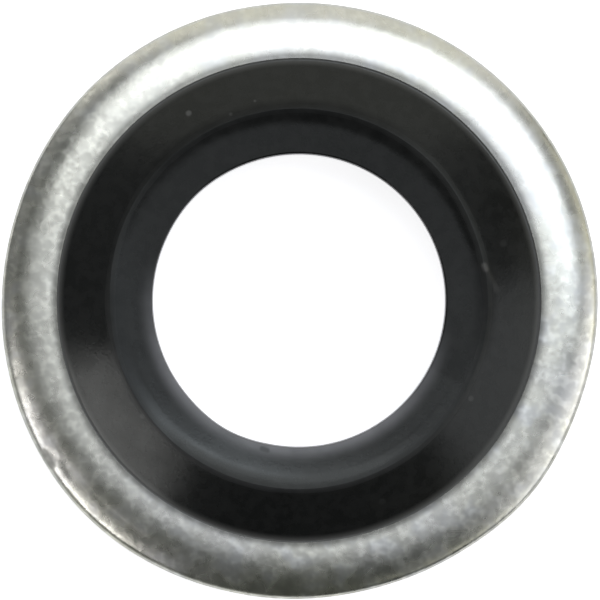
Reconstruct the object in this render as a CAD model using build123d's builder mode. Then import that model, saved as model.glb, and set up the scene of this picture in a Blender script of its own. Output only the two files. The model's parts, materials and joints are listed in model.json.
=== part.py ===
from build123d import *
import os

# Bonded sealing washer: a plated steel ring with a rubber seal moulded inside it.
# Millimetres. The origin is the centre of the bore at half thickness, and +Z is the bore's axis.
# Both faces are alike, so each section is drawn above the middle plane and mirrored.

# Rubber seal, across its section from the bore outwards
bore_diameter = 6.86
bore_edge_chamfer = 0.05
land_width = 0.40
dish_width = 0.60
crest_width = 0.03
flank_width = 1.20

# Rubber seal, heights: the crest above the ring's face, and the shallow dish inside the crest
crest_rise = 0.44
dish_depth = 0.08
bond_setback = 0.015

# Steel ring: a flat seat beside the rubber, then a crown that falls away to a rounded rim
ring_thickness = 1.5
seat_width = 0.34
crown_width = 1.00
crown_drop = 0.25
rim_edge_radius = 0.42
inner_edge_chamfer = 0.05

# Radii, built up from the bore to the rim
bore_r = bore_diameter / 2
dish_r = bore_r + land_width
crest_r = dish_r + dish_width
flank_r = crest_r + crest_width
ring_inner_r = flank_r + flank_width
crown_r = ring_inner_r + seat_width
ring_outer_r = crown_r + crown_width

# Heights above the middle plane
ring_face = ring_thickness / 2
rim_corner = ring_face - crown_drop
crest_top = ring_face + crest_rise
land_top = crest_top - dish_depth

# Each worked corner is limited by the walls that it is cut from.
rim_round = min(rim_edge_radius, rim_corner)
bore_break = min(bore_edge_chamfer, land_width / 2)
inner_break = min(inner_edge_chamfer, seat_width / 2)

# The rubber meets the ring's wall just under the ring's broken inner edge.
bond_edge = ring_face - inner_break - bond_setback


def corner_at(section, radius, height):
    """The corner of a section, in the sketch's own X and Y: radius from the axis, height above the middle."""
    return section.vertices().sort_by_distance((radius, height, 0))[0]


# Steel ring: blanked from sheet and tumbled, so its rim is well rounded and its inner edge just broken.
with BuildPart() as steel_ring:
    with BuildSketch(Plane.XZ) as ring_section:
        with BuildLine():
            inner_wall = Line((ring_inner_r, 0), (ring_inner_r, ring_face))
            seat = Line(inner_wall @ 1, (crown_r, ring_face))
            crown = TangentArc(seat @ 1, (ring_outer_r, rim_corner), tangent=seat % 1)
            rim = Line(crown @ 1, (ring_outer_r, 0))
            Line(rim @ 1, inner_wall @ 0)
        make_face()
        chamfer(corner_at(ring_section, ring_inner_r, ring_face), inner_break)
        fillet(corner_at(ring_section, ring_outer_r, rim_corner), rim_round)
        mirror(about=Plane.XZ)
    revolve(axis=Axis.Z)
steel_ring.part.label = "steel_ring"

# Rubber seal: a just broken edge at the bore, a flat land and a shallow hollow dish that rises to the narrow
# crest of the sealing bead, and a long straight flank down to the ring's inner wall, where the rubber is bonded.
with BuildPart() as rubber_seal:
    with BuildSketch(Plane.XZ) as seal_section:
        with BuildLine():
            bore_wall = Line((bore_r, 0), (bore_r, land_top))
            land = Line(bore_wall @ 1, (dish_r, land_top))
            dish = TangentArc(land @ 1, (crest_r, crest_top), tangent=land % 1)
            crest = Line(dish @ 1, (flank_r, crest_top))
            flank = Line(crest @ 1, (ring_inner_r, bond_edge))
            bond = Line(flank @ 1, (ring_inner_r, 0))
            Line(bond @ 1, bore_wall @ 0)
        make_face()
        chamfer(corner_at(seal_section, bore_r, land_top), bore_break)
        mirror(about=Plane.XZ)
    revolve(axis=Axis.Z)
rubber_seal.part.label = "rubber_seal"

os.makedirs("parts", exist_ok=True)
export_step(steel_ring.part, "parts/steel_ring.step")
export_step(rubber_seal.part, "parts/rubber_seal.step")
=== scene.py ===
# %% [markdown]
# # A bonded sealing washer
# This lesson dresses a small washer, 14 mm across: a zinc-plated steel ring with a black rubber seal moulded
# inside it. The CAD model comes first and is loaded as a fixed frame. It fixes where everything is, so here
# we only make finer surfaces in the same places, give them their finish, and light them as a small studio
# would.

# %% Load the CAD frame
import json
import math

import bpy
import numpy as np
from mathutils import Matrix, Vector, noise


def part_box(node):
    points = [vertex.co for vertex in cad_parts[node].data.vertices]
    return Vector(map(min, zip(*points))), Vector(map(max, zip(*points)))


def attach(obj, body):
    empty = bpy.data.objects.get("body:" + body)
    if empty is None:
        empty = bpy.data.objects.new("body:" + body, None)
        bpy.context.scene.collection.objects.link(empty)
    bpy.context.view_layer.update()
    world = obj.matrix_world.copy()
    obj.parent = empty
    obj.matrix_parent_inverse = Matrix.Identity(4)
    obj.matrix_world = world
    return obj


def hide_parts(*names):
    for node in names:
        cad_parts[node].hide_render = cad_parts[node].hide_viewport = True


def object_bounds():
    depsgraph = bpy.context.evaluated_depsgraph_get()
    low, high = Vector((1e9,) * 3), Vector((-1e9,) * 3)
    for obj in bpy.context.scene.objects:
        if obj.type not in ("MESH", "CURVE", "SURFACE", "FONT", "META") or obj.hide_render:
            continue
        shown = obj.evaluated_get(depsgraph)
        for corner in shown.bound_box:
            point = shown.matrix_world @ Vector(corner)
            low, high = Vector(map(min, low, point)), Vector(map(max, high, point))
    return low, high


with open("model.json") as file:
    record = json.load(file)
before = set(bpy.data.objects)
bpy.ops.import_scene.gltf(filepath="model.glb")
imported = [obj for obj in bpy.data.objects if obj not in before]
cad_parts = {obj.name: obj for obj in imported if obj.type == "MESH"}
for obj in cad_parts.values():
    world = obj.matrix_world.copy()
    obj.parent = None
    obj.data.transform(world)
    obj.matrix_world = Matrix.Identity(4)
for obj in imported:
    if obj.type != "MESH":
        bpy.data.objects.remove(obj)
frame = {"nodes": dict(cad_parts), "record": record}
cad_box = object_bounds()
MM = 0.001
lowest = cad_box[0].z
print("CAD nodes:", sorted(frame["nodes"]))
print("CAD box in mm:", [[round(v / MM, 3) for v in corner] for corner in cad_box])

# %% [markdown]
# ## The camera
# The photograph looks straight down the bore, with the washer nearly filling the frame. A long lens from a
# little distance keeps the circles concentric. The lens is worked out, not guessed: half the frame has to
# show just over the washer's radius, which the CAD ring gives. The washer sits one pixel left of the middle
# and half a pixel low.

# %% Camera straight above the bore
ring_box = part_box("steel_ring")
rim_r = round(ring_box[1].x / MM, 3)
picture, rim_pixels = 600, 299.0
pixels_left, pixels_low = 1.0, 0.5
rim_height, camera_height = 0.2 * MM, 300 * MM
pixel = rim_r * MM / rim_pixels
half_frame = pixel * picture / 2

camera_data = bpy.data.cameras.new("camera")
camera_data.sensor_width = 36.0
camera_data.lens = camera_data.sensor_width / 2 * (camera_height - rim_height) / half_frame
camera_data.clip_start = 10 * MM
camera_data.clip_end = 10.0
camera = bpy.data.objects.new("camera", camera_data)
bpy.context.scene.collection.objects.link(camera)
camera.location = (pixels_left * pixel, pixels_low * pixel, camera_height)
bpy.context.scene.camera = camera
print("rim radius in mm:", rim_r, "lens in mm:", round(camera_data.lens, 1))

# %% [markdown]
# ## Finishes are node trees
# Every finish here is built from nodes that compute it at each point of the surface, so nothing is painted.
# Three small helpers keep that short: one makes an empty finish, one adds a node with its values and links,
# and one adds a node that does a sum.

# %% Helpers for node trees
def new_finish(name):
    """An empty material, its tree, and its main shader."""
    material = bpy.data.materials.new(name)
    material.use_nodes = True
    tree = material.node_tree
    return material, tree, tree.nodes["Principled BSDF"]


def add(tree, kind, inputs=None, **settings):
    """Add a node. Settings are its own fields, and inputs are values or other nodes' outputs by socket."""
    made = tree.nodes.new("ShaderNode" + kind)
    for field, value in settings.items():
        setattr(made, field, value)
    for socket, value in (inputs or {}).items():
        if isinstance(value, bpy.types.NodeSocket):
            tree.links.new(value, made.inputs[socket])
        else:
            made.inputs[socket].default_value = value
    return made


def maths(tree, operation, *values):
    """One Math node."""
    return add(tree, "Math", dict(enumerate(values)), operation=operation).outputs[0]


print("helpers for nodes ready")

# %% [markdown]
# ## The floor
# The washer lies on a plain white sheet. A white surface under soft light is a little darker than the white
# of a screen, so the sheet also glows faintly, for the camera and for what mirrors it, but it casts no extra
# light on the washer. The soft shadow round the washer stays.

# %% A plain white sheet
sheet_half = 3.0
sheet_white = (0.85, 0.85, 0.85, 1)
glow_seen, glow_mirrored = 0.78, 0.25

sheet_mesh = bpy.data.meshes.new("white_sheet")
corners = [(x * sheet_half, y * sheet_half, lowest) for x, y in ((-1, -1), (1, -1), (1, 1), (-1, 1))]
sheet_mesh.from_pydata(corners, [], [(0, 1, 2, 3)])
white_sheet = bpy.data.objects.new("white_sheet", sheet_mesh)
bpy.context.scene.collection.objects.link(white_sheet)

paper, tree, shader = new_finish("white_paper")
shader.inputs["Base Color"].default_value = sheet_white
shader.inputs["Roughness"].default_value = 0.9
shader.inputs["Specular IOR Level"].default_value = 0.0
path = add(tree, "LightPath")
straight_on = maths(tree, "MAXIMUM", path.outputs["Is Camera Ray"], path.outputs["Is Transmission Ray"])
mirrored = maths(tree, "MULTIPLY", path.outputs["Is Glossy Ray"], glow_mirrored)
lift = maths(tree, "ADD", maths(tree, "MULTIPLY", straight_on, glow_seen), mirrored)
glow = add(tree, "Emission", {"Color": (1, 1, 1, 1), "Strength": lift})
total = add(tree, "AddShader", {0: shader.outputs[0], 1: glow.outputs[0]})
tree.links.new(total.outputs[0], tree.nodes["Material Output"].inputs["Surface"])
sheet_mesh.materials.append(paper)
print("sheet at z =", round(lowest / MM, 3), "mm")

# %% [markdown]
# ## The lamps
# Polished metal is a mirror of the room, so its light and dark bands are the lamps and the gaps between
# them. Read from the photograph, there is one big soft lamp above and a little behind, with the pale ceiling
# and a strip beside it. There is a bright strip halfway up at the front left, a pale wall, a shelf and a
# window at the right, a pale wall behind, and dimmer walls at the left and the front left. Each lamp is a
# rectangle that faces the washer. It is placed by direction, as on a clock face: an azimuth, which is the
# angle round the bore from the right anticlockwise, and an angle from straight up. Its brightness is given
# as radiance, so that a lamp of 1 looks like white paper in good light.

# %% Soft lamps, placed by direction
lamp_distance = 0.6


def direction(azimuth, from_up=90.0):
    """The unit vector at an azimuth and at an angle from straight up, both in degrees."""
    around, down = math.radians(azimuth), math.radians(from_up)
    return Vector((math.cos(around) * math.sin(down), math.sin(around) * math.sin(down), math.cos(down)))


def lamp(name, azimuth, from_up, wide, tall, radiance, colour=(1, 1, 1), turn=0.0):
    """A soft rectangular lamp. Its direction, its width and height and its turn are angles in degrees."""
    light = bpy.data.lights.new(name, "AREA")
    light.shape = "RECTANGLE"
    light.size = 2 * lamp_distance * math.tan(math.radians(wide) / 2)
    light.size_y = 2 * lamp_distance * math.tan(math.radians(tall) / 2)
    light.energy = radiance * math.pi * light.size * light.size_y
    light.color = colour
    made = bpy.data.objects.new(name, light)
    bpy.context.scene.collection.objects.link(made)
    toward = direction(azimuth, from_up)
    made.location = toward * lamp_distance
    made.rotation_euler = toward.to_track_quat("Z", "Y").to_euler()
    made.rotation_euler.rotate_axis("Z", math.radians(turn))
    made.visible_camera = False
    print(name, "radiance", radiance, "size in m", round(light.size, 2), round(light.size_y, 2))


lamp("big_lamp_above", 74, 22, 45, 21, 2.11, (0.916, 0.944, 1.036), 22)
lamp("ceiling_bounce", 64, 10, 47, 48, 0.76, (0.944, 0.963, 1.084), -88)
lamp("ceiling_strip", 31, 19, 10, 32, 2.71, (0.887, 0.964, 1.137), -53)
lamp("strip_front_left", 215, 47, 29, 9, 4.65, (0.985, 0.955, 1.010), -2)
lamp("wall_right", 336, 57, 36, 45, 1.47, (0.914, 0.916, 1.015), -20)
lamp("shelf_right", 329, 56, 67, 14, 0.42, (1.080, 1.058, 0.912), -7)
lamp("window_right", 7, 69, 46, 40, 0.64, (1.124, 1.086, 0.923), 3)
lamp("wall_behind", 89, 83, 96, 89, 0.91, (1.012, 0.996, 0.962), -1)
lamp("wall_front_left", 222, 82, 90, 22, 0.42)
lamp("wall_left", 174, 62, 83, 40, 0.17, (1.040, 1.040, 1.120), -17)

# %% [markdown]
# ## The rest of the room
# What no lamp covers isn't black: the room itself is dim and faintly green. The view transform is plain, so
# that the picture's values are the scene's own.

# %% A dim room and a plain view
room_colour, room_strength = (0.90, 1.0, 0.87, 1), 0.050
world = bpy.data.worlds.new("dim_room")
bpy.context.scene.world = world
world.use_nodes = True
room = world.node_tree.nodes["Background"]
room.inputs["Color"].default_value = room_colour
room.inputs["Strength"].default_value = room_strength
bpy.context.scene.view_settings.view_transform = "Standard"
print("room strength:", room_strength)

# %% [markdown]
# ## Drawing a section
# Both pieces are bodies of revolution, made in real life by blanking and by moulding. So each is drawn as
# the upper half of its section: a path of points, each at a radius and a height in millimetres. Lines and
# arcs do for the plain parts. The shaped parts are given by how far they lean at each radius, because that
# is what the photograph shows: its bands tell which way the surface faces, and adding up the leans gives the
# heights.

# %% Lines, arcs and leans
def straight(start, end, longest):
    """Points along a line, both ends included, no further apart than longest."""
    count = max(1, math.ceil(math.dist(start, end) / longest))
    return [(start[0] + (end[0] - start[0]) * i / count, start[1] + (end[1] - start[1]) * i / count)
            for i in range(count + 1)]


def arc(centre, radius, lean_start, lean_end, count):
    """Points on an arc whose surface leans from lean_start to lean_end, in degrees outwards."""
    leans = np.radians(np.linspace(lean_start, lean_end, count + 1))
    return [(centre[0] + radius * math.sin(a), centre[1] + radius * math.cos(a)) for a in leans]


def from_leans(start, leans, longest=0.045, sharpest=2.0):
    """Points of a smooth surface that starts at a point. leans says how many degrees outwards it leans at
    each radius. No step is longer than longest, and none turns by more than sharpest."""
    path = [start]
    for (radius, lean), (next_radius, next_lean) in zip(leans, leans[1:]):
        by_length, by_turn = (next_radius - radius) / longest, abs(next_lean - lean) / sharpest
        count = max(1, math.ceil(by_length), math.ceil(by_turn))
        width = (next_radius - radius) / count
        for i in range(count):
            slope = math.tan(math.radians(lean + (next_lean - lean) * (i + 0.5) / count))
            path.append((path[-1][0] + width, path[-1][1] - width * slope))
    return path


def closed_section(upper, closest=0.003):
    """Join the upper half, drawn from the inside to the outside, to its mirror image below.
    A point that is no further than closest from the one before it is left out."""
    path = [upper[0]]
    for point in upper[1:]:
        if math.dist(point, path[-1]) > closest:
            path.append(point)
    below = [(r, -z) for r, z in reversed(path)]
    return path + [p for p in below if abs(p[1]) > 1e-9 or p not in (path[0], path[-1])]


print("a quarter round in 3 steps:", [(round(r, 2), round(z, 2)) for r, z in arc((0, 0), 1.0, 0, 90, 3)])

# %% [markdown]
# ## Turning it
# A lathe is the natural way to model a body of revolution: it sweeps a closed section round the axis, in
# steps. Real surfaces are never quite true, so a function of the piece's own may move each point a little,
# outwards and upwards.

# %% The lathe
def turned(name, section, steps, shaped):
    """Sweep a section in millimetres round Z. shaped(r, angle, z) gives small moves outwards and upwards."""
    section = np.array(section)
    angle = np.linspace(0, 2 * np.pi, steps, endpoint=False)
    r, a = np.meshgrid(section[:, 0], angle)
    z = np.tile(section[:, 1], (steps, 1))
    out, up = shaped(r, a, z)
    r, z = r + out, z + up
    points = np.stack([r * np.cos(a), r * np.sin(a), z], axis=-1).reshape(-1, 3) * MM
    n = len(section)
    ring, spot = np.meshgrid(np.arange(steps), np.arange(n), indexing="ij")
    onward, across = (ring + 1) % steps, (spot + 1) % n
    quads = [ring * n + spot, ring * n + across, onward * n + across, onward * n + spot]
    quads = np.stack(quads, axis=-1).reshape(-1, 4)
    mesh = bpy.data.meshes.new(name)
    mesh.from_pydata(points.tolist(), [], quads.tolist())
    mesh.polygons.foreach_set("use_smooth", [True] * len(mesh.polygons))
    mesh.update()
    made = bpy.data.objects.new(name, mesh)
    bpy.context.scene.collection.objects.link(made)
    print(name, "triangles:", 2 * len(mesh.polygons))
    return made


print("the lathe is ready")

# %% [markdown]
# ## Small moves
# The moves come from smooth noise, which is the same each time the script runs, and from smooth bumps that
# are placed by azimuth and radius.

# %% Unevenness and bumps
def unevenness(r, a, z, size, seed):
    """Smooth random heights between about -1 and 1, with features of the given size in millimetres."""
    x, y = r * np.cos(a) / size, r * np.sin(a) / size
    shift = Vector((seed * 17.3, seed * 5.1, seed * 9.7))
    flat = [noise.noise(Vector(p) + shift) for p in zip(x.ravel(), y.ravel(), (z / size).ravel())]
    return np.array(flat).reshape(r.shape)


def bell(value, centre, spread):
    """A smooth bump: 1 at the centre, fading over the spread."""
    return np.exp(-((value - centre) / spread) ** 2)


def near(a, azimuth, spread):
    """A smooth bump in angle, with the azimuth and the spread in degrees."""
    return bell(np.degrees(np.angle(np.exp(1j * (a - np.radians(azimuth))))), 0.0, spread)


print("a bump at its middle, its spread and twice that:", [round(float(bell(v, 0, 1)), 3) for v in (0, 1, 2)])

# %% [markdown]
# ## The steel ring
# The ring is blanked from sheet and tumbled in a drum of stones, so its outside edge is crowned and well
# rounded, and its inside edge is just broken. The crown leans out more and more from the rubber to the rim,
# so it is drawn from its leans, and an arc takes it from there to upright. The rim, the top face and the
# wall where the rubber starts are where the CAD has them.

# %% Draw the ring's section
ring_face = round(ring_box[1].z / MM, 3)
joint_r = round(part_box("rubber_seal")[1].x / MM, 3)
inner_break = 0.006
# Radius in millimetres, and lean in degrees
crown_leans = [
    (5.67, 0.0), (5.76, 0.2), (5.855, 1.8), (5.95, 3.8), (6.04, 5.2), (6.13, 6.9), (6.23, 8.5), (6.32, 10.3),
    (6.415, 12.3), (6.51, 14.4), (6.60, 16.5), (6.695, 19.2), (6.742, 20.6), (6.79, 22.0), (6.825, 23.3),
    (6.86, 25.5), (6.895, 29.0), (6.93, 37.0),
]
crown_end, rim_lean = crown_leans[-1]
ring_crown = from_leans((crown_leans[0][0], ring_face), crown_leans)

rim_round = (rim_r - crown_end) / (1 - math.sin(math.radians(rim_lean)))
rim_centre = (rim_r - rim_round, ring_crown[-1][1] - rim_round * math.cos(math.radians(rim_lean)))
ring_upper = (
    straight((joint_r, 0.0), (joint_r, ring_face - inner_break), 0.3)
    + arc((joint_r + inner_break, ring_face - inner_break), inner_break, -90, 0, 2)
    + ring_crown
    + arc(rim_centre, rim_round, rim_lean, 90, 16)
    + straight((rim_r, rim_centre[1]), (rim_r, 0.0), 0.08)
)
print("the crown falls by", round(ring_face - ring_crown[-1][1], 3), "mm, and the rim's round is",
      round(rim_round, 3), "mm")

# %% [markdown]
# Tumbling leaves the crown very slightly uneven, which is what makes the reflections of the lamps wander, so
# the lathe gets moves of a few thousandths of a millimetre, always inwards. The ring isn't quite round
# either: its rim stands out in some places and is flattened in others, by up to a tenth of a millimetre, and
# it has been knocked at the front left. All of it stays inside the CAD model's box.

# %% Turn the steel ring
inset = 0.0075
rim_starts = 6.6
# Where the rim isn't round: azimuth and spread in degrees, and how far it stands out, in millimetres
out_of_round = [(226, 25, 0.095), (320, 13, 0.075), (164, 22, -0.06), (283, 14, -0.03), (90, 30, -0.02)]
# Dents: azimuth and spread in degrees, radius and spread in millimetres, and depth in millimetres
dents = [(216.6, 2.4, 6.69, 0.08, 0.005), (212.4, 1.4, 6.78, 0.12, 0.008)]


def tumbled(r, a, z):
    """Tumbling marks, the rim's want of roundness, and the dents in the rim."""
    waves = unevenness(r, a, z, 1.6, 1) * 0.0045 + unevenness(r, a, z, 0.55, 2) * 0.0008
    at_rim = np.clip((r - rim_starts) / (rim_r - rim_starts), 0, 1)
    stands_out = sum(move * near(a, azimuth, spread) for azimuth, spread, move in out_of_round)
    dent = sum(depth * near(a, azimuth, spread) * bell(r, radius, width)
               for azimuth, spread, radius, width, depth in dents)
    up = (waves * (1 - at_rim) - inset) * np.sign(z)
    return (waves - inset + stands_out) * at_rim, up - np.where(z > 0, dent, 0)


steel = turned("steel_ring_plated", closed_section(ring_upper), 720, tumbled)

# %% [markdown]
# ## Patterns
# The finishes need a few more nodes. The one that does most is fade, a soft step: as a value passes from one
# level to another, the result passes from one number to another. It turns noise into patches, and a distance
# into the edge of a mark.

# %% Helpers for patterns
def scaled(tree, vector, factor):
    """A vector or a colour, times a number."""
    return add(tree, "VectorMath", {0: vector, 3: factor}, operation="SCALE").outputs["Vector"]


def fade(tree, value, low, high, to_low=0.0, to_high=1.0):
    """A soft step: to_low where the value is under low, to_high where it is over high."""
    step = add(tree, "MapRange", {0: value, 1: low, 2: high, 3: to_low, 4: to_high})
    step.interpolation_type = "SMOOTHSTEP"
    return step.outputs[0]


def blend(tree, amount, first, second):
    """Mix two colours."""
    return add(tree, "Mix", {0: amount, 6: first, 7: second}, data_type="RGBA").outputs[2]


def grain(tree, place, scale, detail=3.0, roughness=0.5):
    """Soft random noise with so many features to the millimetre."""
    values = {"Vector": place, "Scale": scale, "Detail": detail, "Roughness": roughness}
    return add(tree, "TexNoise", values).outputs["Fac"]


def bumps(tree, height, depth, **normal):
    """Small bumps of a depth in metres, on top of another node's Normal if one is given."""
    return add(tree, "Bump", {"Strength": 1.0, "Distance": depth, "Height": height, **normal}).outputs[0]


print("helpers for patterns ready")

# %% [markdown]
# ## Finding a place on the washer
# The washer is only millimetres wide, so its patterns and marks are measured in millimetres: the object's
# own coordinates, which are metres, are multiplied by a thousand first. A mark is then placed by its azimuth
# and its distance from the axis, or by its distance from a short line.

# %% Helpers for places
def millimetres(tree):
    """The point on the object, in millimetres."""
    return scaled(tree, add(tree, "TexCoord").outputs["Object"], 1 / MM)


def round_bore(tree, place):
    """The level unit vector from the axis towards the place, and the place's distance from the axis."""
    flat = add(tree, "VectorMath", {0: place, 1: (1, 1, 0)}, operation="MULTIPLY").outputs["Vector"]
    outwards = add(tree, "VectorMath", {0: flat}, operation="NORMALIZE").outputs["Vector"]
    return outwards, add(tree, "VectorMath", {0: flat}, operation="LENGTH").outputs["Value"]


def facing(tree, outwards, azimuth):
    """The cosine of the angle between an outwards vector and an azimuth: 1 where they agree."""
    inputs = {0: outwards, 1: direction(azimuth)}
    return add(tree, "VectorMath", inputs, operation="DOT_PRODUCT").outputs["Value"]


def distance_to_line(tree, place, start, end):
    """How far the place is from a short straight line."""
    start, end = Vector(start), Vector(end)
    along = (end - start) / (end - start).length_squared
    from_start = add(tree, "VectorMath", {0: place, 1: start}, operation="SUBTRACT").outputs["Vector"]
    part = add(tree, "VectorMath", {0: from_start, 1: along}, operation="DOT_PRODUCT").outputs["Value"]
    nearest = scaled(tree, end - start, add(tree, "Clamp", {0: part}).outputs[0])
    return add(tree, "VectorMath", {0: from_start, 1: nearest}, operation="DISTANCE").outputs["Value"]


print("azimuth 90 points to", [round(v, 3) for v in direction(90)])

# %% [markdown]
# ## Zinc plating
# Bright zinc is a soft grey metal mirror. Close up it isn't a clean mirror: the plating is finely mottled,
# so each small patch leans a little and is a little more or less matt. A clear passivating dip leaves a
# faint straw tint in some places and a bluish one in others. So the finish is a metal shader with noise in
# its colour, in its roughness and in its bump. First come the tints. The straw is yellowest at the left,
# inside the rim.

# %% Zinc tints
straw, deep_straw = (0.563, 0.563, 0.508, 1), (0.568, 0.568, 0.488, 1)
bluish, yellow_straw = (0.548, 0.558, 0.530, 1), (0.568, 0.566, 0.480, 1)

zinc, tree, shader = new_finish("zinc_plating")
shader.inputs["Metallic"].default_value = 1.0
place = millimetres(tree)
outwards, radius = round_bore(tree, place)
broad = grain(tree, place, 0.55, 2.0)
patches = grain(tree, place, 1.7, 2.0)
tint = blend(tree, fade(tree, broad, 0.42, 0.64), straw, deep_straw)
tint = blend(tree, fade(tree, patches, 0.48, 0.70, 0.0, 0.7), tint, bluish)
at_left = fade(tree, facing(tree, outwards, 172), 0.30, 0.85, 0.0, 0.8)
inside_rim = fade(tree, radius, 6.4, 6.7, 1.0, 0.0)
tint = blend(tree, maths(tree, "MULTIPLY", at_left, inside_rim), tint, yellow_straw)
print("nodes for the tints:", len(tree.nodes))

# %% [markdown]
# Next comes the mottle, as light and dark flecks. It is calmer at the back, a little to the right, where the
# photograph's metal is almost plain. Beside the rubber the metal is darkened as painted shade, the soft dark
# edge of the joint, less so at the back. The knock at the front left has left a dull patch, and its darker
# colour is painted shade where the rim's highlight breaks.

# %% Zinc flecks, painted joint shade and knock
calm_level = 1.06
clouds = grain(tree, place, 2.6, 2.0)
mottle = grain(tree, place, 5.2, 1.2, 0.45)
calm = fade(tree, facing(tree, outwards, 68), 0.15, 0.80, 0.0, 0.65)
lively = maths(tree, "SUBTRACT", 1.0, calm)
flecks = fade(tree, mottle, 0.42, 0.74, 0.99, 1.21)
flecks = maths(tree, "ADD", flecks, fade(tree, clouds, 0.35, 0.62, -0.11, 0.05))
flecks = maths(tree, "MULTIPLY", lively, flecks)
flecks = maths(tree, "ADD", flecks, maths(tree, "MULTIPLY", calm, calm_level))

# Painted shade: the metal beside the rubber is darkened, least at the back.
painted_joint_shade_by_side = fade(tree, facing(tree, outwards, 88), -0.3, 0.9, 0.32, 0.54)
painted_joint_shade = maths(tree, "MAXIMUM", fade(tree, radius, joint_r, 5.88, 0.32, 1.0), painted_joint_shade_by_side)
# The knock is dull, and the darkening of its colour below is painted shade that breaks the rim's highlight.
knock_and_painted_shade = distance_to_line(tree, place, (-5.95, -3.57, 0.5), (-5.79, -3.83, 0.5))
shade = maths(tree, "MULTIPLY", flecks, painted_joint_shade)
shade = maths(tree, "MULTIPLY", shade, fade(tree, knock_and_painted_shade, 0.04, 0.17, 0.74, 1.0))
tree.links.new(scaled(tree, tint, shade), shader.inputs["Base Color"])
print("nodes with flecks, primer and bruise:", len(tree.nodes))

# %% [markdown]
# Last come the sheen and the bumps. Bumps a few thousandths of a millimetre deep are enough to break up a
# mirror. They come from the same noise as the flecks and the tints, so that a patch that leans is also a
# patch that is lighter or darker, and they are calmer in the same place.

# %% Zinc sheen and bumps
matt = fade(tree, patches, 0.3, 0.7, 0.25, 0.31)
matt = maths(tree, "ADD", matt, fade(tree, knock_and_painted_shade, 0.05, 0.17, 0.25, 0.0))
tree.links.new(matt, shader.inputs["Roughness"])
fine_bumps = bumps(tree, mottle, maths(tree, "MULTIPLY", lively, 0.0030 * MM))
soft_bumps = bumps(tree, patches, maths(tree, "MULTIPLY", lively, 0.0058 * MM), Normal=fine_bumps)
tree.links.new(soft_bumps, shader.inputs["Normal"])
steel.data.materials.append(zinc)
print("zinc nodes:", len(tree.nodes))

# %% [markdown]
# ## The rubber seal
# The seal is moulded straight onto the ring's inside wall. From the bore outwards its top is a just rounded
# edge, a broad land that leans in very slightly, a shallow dish, the narrow crest that does the sealing, and
# a long, almost straight flank down to the steel, where it turns level in a small foot. The crest is a small
# arc just under the CAD's highest point. The land and the dish are drawn from their leans and set at the
# height where they meet the crest, and the flank is drawn from the crest's other side.

# %% Draw the seal's section
bore_r = next(mount["dims"]["r_mm"] for mount in frame["record"]["mounts"] if mount["name"] == "bore")
bore_round = 0.05
crest_centre, crest_round, dish_lean, flank_lean = (4.44, 1.153), 0.03, -15.0, 21.8
crest = arc(crest_centre, crest_round, dish_lean, flank_lean, 6)

land_start = bore_r + bore_round
dish_leans = [
    (land_start, -5.2), (3.82, -5.4), (3.93, -5.5), (4.05, -6.3), (4.12, -8.5), (4.19, -11.2), (4.26, -13.6),
    (4.32, dish_lean), (crest[0][0], dish_lean),
]
land_height = crest[0][1] - from_leans((land_start, 0.0), dish_leans)[-1][1]
flank_leans = [
    (crest[-1][0], flank_lean), (4.68, 21.9), (5.01, 22.4), (5.34, 23.3), (5.60, 23.6), (5.625, 0.0),
    (5.656, -10.0),
]
flank = from_leans(crest[-1], flank_leans, 0.06, 4.0)
foot_height = flank[-1][1]

seal_upper = (
    straight((bore_r, 0.0), (bore_r, land_height - bore_round), 0.15)
    + arc((land_start, land_height - bore_round), bore_round, -90, dish_leans[0][1], 7)
    + from_leans((land_start, land_height), dish_leans)
    + crest
    + flank
    + [(joint_r, foot_height), (joint_r, foot_height - 0.004)]
    + straight((joint_r, foot_height - 0.008), (joint_r, 0.0), 0.7)
)
print("seal heights in mm: land", round(land_height, 3), "foot", round(foot_height, 3))

# %% [markdown]
# A rubber moulding is softer in its lines than steel. Its crest lies a little further out at the back, and
# further in at the front and at both sides, and it is slightly worn at the right. The dish is shallower at
# the left and at the front right, and the bore's edge is a little wider in two places. Across the crest, at
# the right, runs a small torn nick with a raised edge.

# %% Where the moulding isn't true
crest_shift = 0.045
crest_out, crest_in = 110, (182, 20)
highest = 1.182
worn_at, worn_half, worn_depth = 27, 13, 0.004
# Where the dish is shallower: azimuth and spread in degrees, and how much of the most
shallow_at, shallow_by = [(318, 32, 1.0), (345, 26, 1.0), (195, 32, 0.8)], 0.048
# How much of that reaches each radius in millimetres
dish_shares = [(3.93, 1.0), (4.05, 0.97), (4.167, 0.83), (4.26, 0.60), (4.35, 0.29), (4.432, 0.0)]
# Where the bore is wider: azimuth and spread in degrees, and by how many millimetres
bore_wider = [(134, 15, 0.02), (240, 14, 0.035)]
# The nick's raised edge: where it starts, which way it runs, and its sizes in millimetres
nick, nick_way = (4.331, 0.808), (0.447, -0.894)
ridge_middle, ridge_half, ridge_wide, ridge_high = 0.25, 0.32, 0.045, 0.010
print("the crest wanders by up to", crest_shift, "mm and stays under", highest, "mm")


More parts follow.
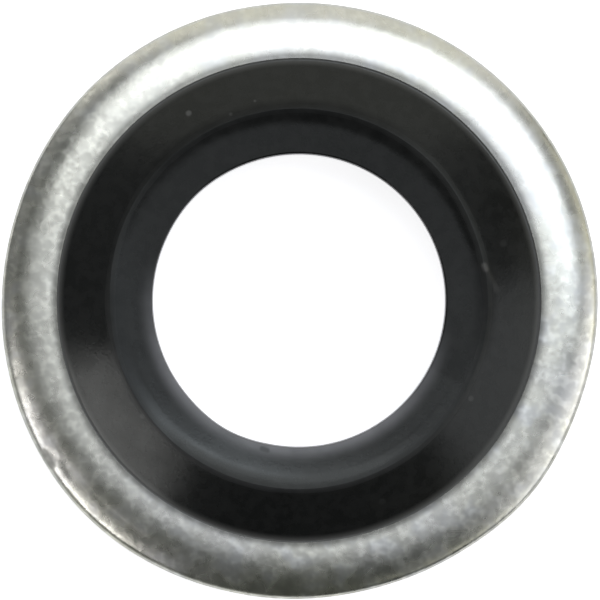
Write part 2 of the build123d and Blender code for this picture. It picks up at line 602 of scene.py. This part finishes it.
# %% Turn the rubber seal
def moulded(r, a, z):
    """Unevenness, the shallower dish, the worn and wandering crest, the wider bore, and the torn nick."""
    on_top = z > 0.5
    waves = unevenness(r, a, z, 1.3, 5) * 0.004 - 0.005
    shallow = np.maximum.reduce([share * near(a, azimuth, spread) for azimuth, spread, share in shallow_at])
    in_dish = np.interp(r, *zip(*dish_shares))
    up = (waves + shallow_by * shallow * in_dish) * np.sign(z)
    worn = worn_depth * np.exp(-((np.degrees(a) - worn_at) / worn_half) ** 4)
    up = np.where(on_top, np.minimum(z + up, highest - worn) - z, up)

    by_crest = np.clip((r - 3.9) / 0.5, 0, 1) * np.clip((5.5 - r) / 1.0, 0, 1)
    wander = np.cos(a - np.radians(crest_out)) - near(a, crest_in[0], 20) - near(a, crest_in[1], 17)
    by_bore = np.clip((3.9 - r) / 0.45, 0, 1)
    wider = sum(move * near(a, azimuth, spread) for azimuth, spread, move in bore_wider)
    out = crest_shift * wander * by_crest + wider * by_bore

    x, y = r * np.cos(a) - nick[0], r * np.sin(a) - nick[1]
    along, aside = nick_way[0] * x + nick_way[1] * y, nick_way[0] * y - nick_way[1] * x
    ridge = bell(aside, 0.0, ridge_wide) * np.exp(-((along - ridge_middle) / ridge_half) ** 4) * on_top
    return out, up + ridge_high * ridge


rubber = turned("rubber_seal_moulded", closed_section(seal_upper), 600, moulded)

# %% [markdown]
# ## Black rubber
# Nitrile rubber from a steel mould is black and satin, with a faint skin of its own. Nearly all that the eye
# sees is reflection, so the colour is almost black, and the roughness decides the look. A few specks of dust
# on the flank are marks of this one washer, placed by azimuth and radius.

# %% Rubber colour and dust
deep_black, plain_black = (0.0064, 0.0066, 0.0064, 1), (0.0076, 0.0079, 0.0076, 1)
worn_black, dust = (0.0100, 0.0102, 0.0098, 1), (0.42, 0.42, 0.40, 1)

black, tree, shader = new_finish("black_nitrile")
shader.inputs["IOR"].default_value = 1.5
shader.inputs["Specular Tint"].default_value = (0.96, 1.0, 0.92, 1)
place = millimetres(tree)
outwards, radius = round_bore(tree, place)
skin = grain(tree, place, 1.2, 3.0)
wear = grain(tree, place, 4.0, 2.0)
colour = blend(tree, fade(tree, skin, 0.35, 0.65), deep_black, plain_black)
colour = blend(tree, fade(tree, wear, 0.38, 0.66), colour, worn_black)

# Azimuth in degrees, distance from the axis and half-width in millimetres, and how pale the speck is
specks = [
    (120.5, 5.07, 0.065, 0.13),
    (102.5, 4.76, 0.035, 0.10),
    (110.1, 4.62, 0.045, 0.06),
    (15.6, 4.95, 0.080, 0.02),
    (330.3, 4.62, 0.060, 0.05),
    (216.5, 4.54, 0.060, 0.05),
    (292.5, 5.08, 0.070, 0.015),
]
flank_foot = 0.674
pale = 0.0
for azimuth, from_axis, half, strength in specks:
    spot = direction(azimuth) * from_axis
    spot.z = flank_foot + (joint_r - from_axis) * math.tan(math.radians(flank_lean))
    gap = add(tree, "VectorMath", {0: place, 1: spot}, operation="DISTANCE").outputs["Value"]
    pale = maths(tree, "MAXIMUM", fade(tree, gap, half * 0.6, half * 1.5, strength, 0.0), pale)
colour = blend(tree, pale, colour, dust)
print("specks:", len(specks))

# %% [markdown]
# The torn nick shows paler rubber, and has a pale lip where it starts. At the front the bore's edge is
# painted
# paler, as painted light: a glow of the bright sheet beyond it, with one dark mark in it.

# %% Nick, and painted glow at the bore
# The second colour here is painted light: the pale grey of the painted glow at the bore and past the crest.
torn_rubber, painted_glow_grey = (0.42, 0.41, 0.38, 1), (0.16, 0.16, 0.165, 1)
tear = distance_to_line(tree, place, (4.335, 0.80, 1.13), (4.60, 0.25, 1.10))
lip = distance_to_line(tree, place, (4.322, 0.82, 1.15), (4.365, 0.73, 1.16))
torn = fade(tree, tear, 0.02, 0.11, 0.020, 0.0)
torn = maths(tree, "MAXIMUM", torn, fade(tree, lip, 0.02, 0.10, 0.12, 0.0))
colour = blend(tree, torn, colour, torn_rubber)

# Painted light: at the front the bore's edge is painted paler, a glow of the bright sheet beyond it; the dark
# mark is the rubber's own.
at_front = fade(tree, facing(tree, outwards, 258), -0.15, 0.75)
bore_edge = maths(tree, "POWER", fade(tree, radius, 3.42, 3.86, 1.0, 0.0), 1.5)
mark = distance_to_line(tree, place, (-0.74, -3.50, 1.05), (-0.86, -3.455, 1.05))
painted_bore_glow = maths(tree, "MULTIPLY", at_front, bore_edge)
painted_bore_glow = maths(tree, "MULTIPLY", painted_bore_glow, fade(tree, skin, 0.2, 0.6, 0.75, 1.0))
painted_bore_glow = maths(tree, "MULTIPLY", painted_bore_glow, fade(tree, mark, 0.02, 0.09, 0.35, 1.0))
colour = blend(tree, painted_bore_glow, colour, painted_glow_grey)
print("nodes with nick and scuff:", len(tree.nodes))

# %% [markdown]
# What happens at the crest has to follow it as it wanders, so the crest's radius is worked out again from
# the same shifts. Just outside the crest, at the front, the rubber is painted paler, as painted light: the
# dish's reflection spreading past it. The foot is painted pale grey: a painted highlight where it turns
# level.

# %% Crest and foot
painted_foot_highlight = (0.097, 0.097, 0.090, 1)
crest_r = maths(tree, "MULTIPLY", facing(tree, outwards, crest_out), crest_shift)
crest_r = maths(tree, "ADD", crest_r, crest_centre[0])
for azimuth, starts in zip(crest_in, (0.86, 0.90)):
    inwards = fade(tree, facing(tree, outwards, azimuth), starts, 1.0, 0.0, crest_shift)
    crest_r = maths(tree, "SUBTRACT", crest_r, inwards)
past_crest = maths(tree, "SUBTRACT", radius, crest_r)

# Painted light: just outside the crest, at the front, the rubber is painted paler, the dish's reflection
# spreading past it.
painted_crest_spill = fade(tree, past_crest, 0.0, 0.16, 0.07, 0.0)
painted_crest_spill = maths(tree, "MULTIPLY", painted_crest_spill, fade(tree, past_crest, -0.02, 0.01))
colour = blend(tree, maths(tree, "MULTIPLY", painted_crest_spill, at_front), colour, painted_glow_grey)
# Painted highlight: the foot is painted pale grey where it turns level.
colour = blend(tree, fade(tree, radius, 5.47, 5.70), colour, painted_foot_highlight)
tree.links.new(colour, shader.inputs["Base Color"])
print("nodes with crest and foot:", len(tree.nodes))

# %% [markdown]
# The crest is worn slightly matt, least at the front left, so it has no hard edge of light. A faint bloom,
# the dry film that rubber grows, takes some of the gloss from both sides of the crest at the back and at the
# right, and from the dish alone at the left. The skin of the moulding is a very fine bump.

# %% Rubber sheen and texture
gloss = 0.30
worn_matt = fade(tree, facing(tree, outwards, 212), 0.90, 0.99, 0.24, 0.12)
on_crest = fade(tree, maths(tree, "ABSOLUTE", past_crest), 0.0, 0.18, 1.0, 0.0)
satin = fade(tree, skin, 0.3, 0.7, 0.17, 0.22)
satin = maths(tree, "ADD", satin, maths(tree, "MULTIPLY", on_crest, worn_matt))
tree.links.new(satin, shader.inputs["Roughness"])

back_bloom = fade(tree, facing(tree, outwards, 100), 0.60, 0.85, 0.0, 0.11)
right_bloom = fade(tree, facing(tree, outwards, 357), 0.95, 1.0, 0.0, 0.08)
left_bloom = fade(tree, facing(tree, outwards, 196), 0.90, 0.97, 0.0, 0.10)
both_sides = maths(tree, "MAXIMUM", back_bloom, right_bloom)
both_sides = maths(tree, "MULTIPLY", both_sides, fade(tree, past_crest, 0.10, 0.30, 1.0, 0.0))
dish_only = maths(tree, "MULTIPLY", left_bloom, fade(tree, past_crest, 0.0, 0.04, 1.0, 0.0))
bloom = maths(tree, "MAXIMUM", both_sides, dish_only)
bloom = maths(tree, "MULTIPLY", bloom, fade(tree, past_crest, -0.45, -0.10))
tree.links.new(maths(tree, "SUBTRACT", gloss, bloom), shader.inputs["Specular IOR Level"])

fine = grain(tree, place, 14.0, 3.0, 0.6)
tree.links.new(bumps(tree, fine, 0.0015 * MM), shader.inputs["Normal"])
rubber.data.materials.append(black)
print("rubber nodes:", len(tree.nodes))

# %% [markdown]
# ## Tie the pieces to the frame
# Each fine mesh stands for its CAD node and hides it. Nothing moves on a washer, so both ride on the one
# body, called root.

# %% Ride and replace
dressed = [(steel, "steel_ring", "zinc_plated_steel"), (rubber, "rubber_seal", "black_rubber")]
for piece, node, slot in dressed:
    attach(piece, "root")
    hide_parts(node)
